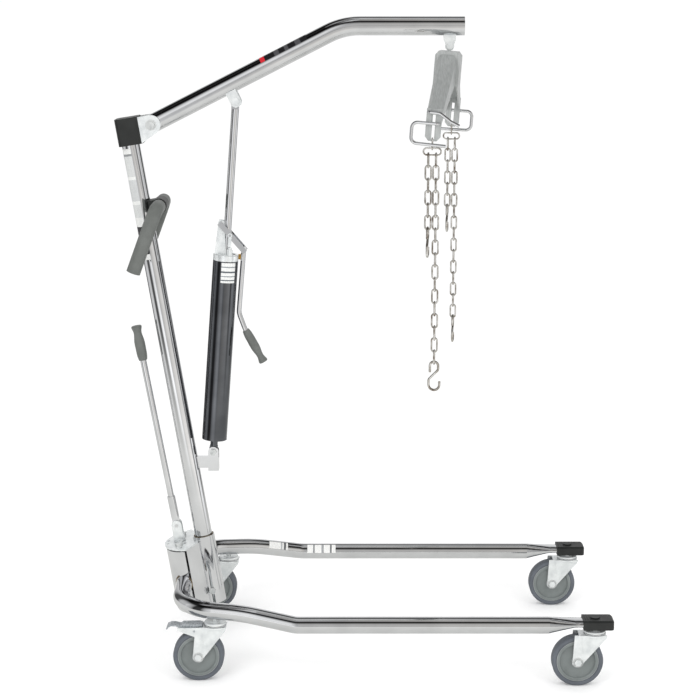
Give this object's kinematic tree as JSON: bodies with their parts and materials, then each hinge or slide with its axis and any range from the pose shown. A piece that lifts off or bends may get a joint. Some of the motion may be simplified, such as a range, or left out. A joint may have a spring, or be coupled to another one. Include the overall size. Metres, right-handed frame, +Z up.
{
  "type": "patient lift hoist",
  "caption": "Wheeled patient lift: leaning mast, hydraulic ram and hand pump, bent boom, swivelling cradle with chains and hooks, spreading legs on castors.",
  "frame": {"origin": "on the floor, at the middle of the whole hoist's length and width, legs closed and boom raised", "axes": "+X forward along the legs, +Y to the hoist's left, +Z up"},
  "size_m": [1.232, 0.636, 1.6235],
  "materials": {
    "chrome_tube": "polished chrome plate",
    "zinc_plate": "bright zinc plate",
    "cradle_paint": "satin grey metallic enamel",
    "black_plastic": "moulded black plastic",
    "grey_vinyl": "dipped grey vinyl",
    "tyre_grey": "non-marking grey rubber",
    "wheel_grey": "moulded light grey polypropylene",
    "brass": "turned brass",
    "chain_steel": "nickel plated wire"
  },
  "bodies": {
    "frame": {"mast_tube": "chrome_tube", "mast_socket": "chrome_tube", "base_plates": "zinc_plate", "base_bolts": "zinc_plate", "boom_ears": "zinc_plate", "mast_boot": "black_plastic", "frame_bolts": "zinc_plate", "push_handle": "chrome_tube", "push_grips": "grey_vinyl", "handle_clamp": "black_plastic", "ram_lower_bracket": "chrome_tube"},
    "shifter": {"shifter_shaft": "zinc_plate", "shift_cam": "zinc_plate"},
    "lever": {"shifter_lever": "chrome_tube", "shifter_grip": "grey_vinyl"},
    "boom": {"boom_tube": "chrome_tube", "boom_plug": "chrome_tube", "boom_brackets": "zinc_plate", "ram_upper_pin": "zinc_plate", "hanger_bolt": "zinc_plate"},
    "rod": {"ram_rod": "chrome_tube"},
    "cylinder": {"ram_cylinder": "chrome_tube", "pump_head": "zinc_plate"},
    "pump_lever": {"pump_handle": "chrome_tube", "pump_grip": "grey_vinyl"},
    "link": {"pump_link": "zinc_plate"},
    "plunger": {"pump_plunger": "zinc_plate"},
    "valve": {"release_valve": "brass"},
    "hanger": {"hanger_eye": "zinc_plate"},
    "cradle": {"cradle_body": "cradle_paint", "hook_wires": "chrome_tube", "chain_rings": "chain_steel"},
    "leg_right": {"leg_tube_right": "chrome_tube", "leg_shell_right": "chrome_tube", "toe_cap_right": "black_plastic", "castor_stems_right": "zinc_plate"},
    "pedal_right": {"brake_pedal_right": "zinc_plate"},
    "swivel_front_right": {"fork_front_right": "zinc_plate"},
    "wheel_front_right": {"wheel_front_right": "wheel_grey", "tyre_front_right": "tyre_grey"},
    "swivel_rear_right": {"fork_rear_right": "zinc_plate"},
    "wheel_rear_right": {"wheel_rear_right": "wheel_grey", "tyre_rear_right": "tyre_grey"},
    "chain_right_short": {"chain_right_short": "chain_steel"},
    "chain_right_long": {"chain_right_long": "chain_steel"},
    "hook_right": {"s_hook_right_long": "chain_steel"},
    "leg_left": {"leg_tube_left": "chrome_tube", "leg_shell_left": "chrome_tube", "toe_cap_left": "black_plastic", "castor_stems_left": "zinc_plate"},
    "pedal_left": {"brake_pedal_left": "zinc_plate"},
    "swivel_front_left": {"fork_front_left": "zinc_plate"},
    "wheel_front_left": {"wheel_front_left": "wheel_grey", "tyre_front_left": "tyre_grey"},
    "swivel_rear_left": {"fork_rear_left": "zinc_plate"},
    "wheel_rear_left": {"wheel_rear_left": "wheel_grey", "tyre_rear_left": "tyre_grey"},
    "chain_left_short": {"chain_left_short": "chain_steel"},
    "chain_left_long": {"chain_left_long": "chain_steel"},
    "hook_left": {"s_hook_left_long": "chain_steel"}
  },
  "joints": [
    {"name": "boom_pivot", "type": "hinge", "parent": "frame", "child": "boom", "pos_m": [-0.5262, 0, 1.36], "axis": [0, 1, 0], "range_deg": [0, 50]},
    {"name": "rod_pivot", "type": "hinge", "parent": "boom", "child": "rod", "pos_m": [-0.3172, 0, 1.417], "axis": [0, 1, 0], "range_deg": [-51, 1]},
    {"name": "cylinder_pivot", "type": "hinge", "parent": "frame", "child": "cylinder", "pos_m": [-0.3862, 0, 0.5195], "axis": [0, 1, 0], "range_deg": [-1, 1]},
    {"name": "pump_stroke", "type": "hinge", "parent": "cylinder", "child": "pump_lever", "pos_m": [-0.35693, 0, 1.10899], "axis": [0, -1, 0], "range_deg": [0, 28]},
    {"name": "link_pivot", "type": "hinge", "parent": "pump_lever", "child": "link", "pos_m": [-0.33484, -0.0215, 1.08322], "axis": [0, -1, 0], "range_deg": [-45, 5]},
    {"name": "plunger_slide", "type": "slide", "parent": "cylinder", "child": "plunger", "axis": [0.0767, 0, 0.9971], "range_m": [-0.001, 0.02]},
    {"name": "valve_turn", "type": "hinge", "parent": "cylinder", "child": "valve", "pos_m": [-0.31735, 0.018, 1.02371], "axis": [0.9971, 0, -0.0767], "range_deg": [0, 180]},
    {"name": "hanger_pivot", "type": "hinge", "parent": "boom", "child": "hanger", "pos_m": [0.2118, 0, 1.551], "axis": [0, 1, 0], "range_deg": [-51, 1]},
    {"name": "cradle_swivel", "type": "hinge", "parent": "hanger", "child": "cradle", "pos_m": [0.2107, 0, 1.53604], "axis": [0.0732, 0, 0.9973], "continuous": true},
    {"name": "shifter_turn", "type": "hinge", "parent": "frame", "child": "shifter", "pos_m": [-0.47135, 0, 0.23655], "axis": [-0.1599, 0, 0.9871], "range_deg": [0, 36]},
    {"name": "lever_tilt", "type": "hinge", "parent": "shifter", "child": "lever", "pos_m": [-0.4851, 0, 0.32144], "axis": [0, 1, 0], "range_deg": [0, 3]},
    {"name": "leg_right_spread", "type": "hinge", "parent": "frame", "child": "leg_right", "pos_m": [-0.46937, -0.042, 0.23687], "axis": [-0.1599, 0, 0.9871], "range_deg": [-12, 1]},
    {"name": "leg_left_spread", "type": "hinge", "parent": "frame", "child": "leg_left", "pos_m": [-0.46937, 0.042, 0.23687], "axis": [-0.1599, 0, 0.9871], "range_deg": [-1, 12]},
    {"name": "swivel_front_right", "type": "hinge", "parent": "leg_right", "child": "swivel_front_right", "pos_m": [0.5698, -0.29, 0.133], "axis": [0, 0, 1], "continuous": true},
    {"name": "roll_front_right", "type": "hinge", "parent": "swivel_front_right", "child": "wheel_front_right", "pos_m": [0.5283, -0.29, 0.0635], "axis": [0, 1, 0], "continuous": true},
    {"name": "swivel_rear_right", "type": "hinge", "parent": "leg_right", "child": "swivel_rear_right", "pos_m": [-0.3692, -0.256, 0.141], "axis": [0, 0, 1], "continuous": true},
    {"name": "roll_rear_right", "type": "hinge", "parent": "swivel_rear_right", "child": "wheel_rear_right", "pos_m": [-0.4107, -0.256, 0.0635], "axis": [0, 1, 0], "continuous": true},
    {"name": "brake_right", "type": "hinge", "parent": "swivel_rear_right", "child": "pedal_right", "pos_m": [-0.4202, -0.256, 0.132], "axis": [0, -1, 0], "range_deg": [0, 14]},
    {"name": "chain_swing_right_short", "type": "hinge", "parent": "cradle", "child": "chain_right_short", "pos_m": [0.15131, -0.23593, 1.3065], "axis": [0.9888, -0.1495, 0], "range_deg": [-35, 35]},
    {"name": "chain_swing_right_long", "type": "hinge", "parent": "cradle", "child": "chain_right_long", "pos_m": [0.1695, -0.23868, 1.3065], "axis": [0.9888, -0.1495, 0], "range_deg": [-35, 35]},
    {"name": "hook_swing_right", "type": "hinge", "parent": "chain_right_long", "child": "hook_right", "pos_m": [0.1695, -0.23868, 0.8015], "axis": [0.1495, 0.9888, 0], "range_deg": [-30, 30]},
    {"name": "swivel_front_left", "type": "hinge", "parent": "leg_left", "child": "swivel_front_left", "pos_m": [0.5698, 0.29, 0.133], "axis": [0, 0, 1], "continuous": true},
    {"name": "roll_front_left", "type": "hinge", "parent": "swivel_front_left", "child": "wheel_front_left", "pos_m": [0.5283, 0.29, 0.0635], "axis": [0, 1, 0], "continuous": true},
    {"name": "swivel_rear_left", "type": "hinge", "parent": "leg_left", "child": "swivel_rear_left", "pos_m": [-0.3692, 0.256, 0.141], "axis": [0, 0, 1], "continuous": true},
    {"name": "roll_rear_left", "type": "hinge", "parent": "swivel_rear_left", "child": "wheel_rear_left", "pos_m": [-0.4107, 0.256, 0.0635], "axis": [0, 1, 0], "continuous": true},
    {"name": "brake_left", "type": "hinge", "parent": "swivel_rear_left", "child": "pedal_left", "pos_m": [-0.4202, 0.256, 0.132], "axis": [0, -1, 0], "range_deg": [0, 14]},
    {"name": "chain_swing_left_short", "type": "hinge", "parent": "cradle", "child": "chain_left_short", "pos_m": [0.2229, 0.23868, 1.30124], "axis": [0.9888, -0.1495, 0], "range_deg": [-35, 35]},
    {"name": "chain_swing_left_long", "type": "hinge", "parent": "cradle", "child": "chain_left_long", "pos_m": [0.24109, 0.23593, 1.30124], "axis": [0.9888, -0.1495, 0], "range_deg": [-35, 35]},
    {"name": "hook_swing_left", "type": "hinge", "parent": "chain_left_long", "child": "hook_left", "pos_m": [0.24109, 0.23593, 0.82594], "axis": [0.9888, -0.1495, 0], "range_deg": [-30, 30]}
  ],
  "couplings": [
    {"joint": "rod_pivot", "follows": "boom_pivot", "ratio": -1.004},
    {"joint": "cylinder_pivot", "follows": "boom_pivot", "ratio": -0.004},
    {"joint": "hanger_pivot", "follows": "boom_pivot", "ratio": -1},
    {"joint": "link_pivot", "follows": "pump_stroke", "ratio": -1.457},
    {"joint": "plunger_slide", "follows": "pump_stroke", "m_per_rad": 0.0293},
    {"joint": "leg_right_spread", "follows": "shifter_turn", "ratio": -0.30556},
    {"joint": "leg_left_spread", "follows": "shifter_turn", "ratio": 0.30556}
  ]
}
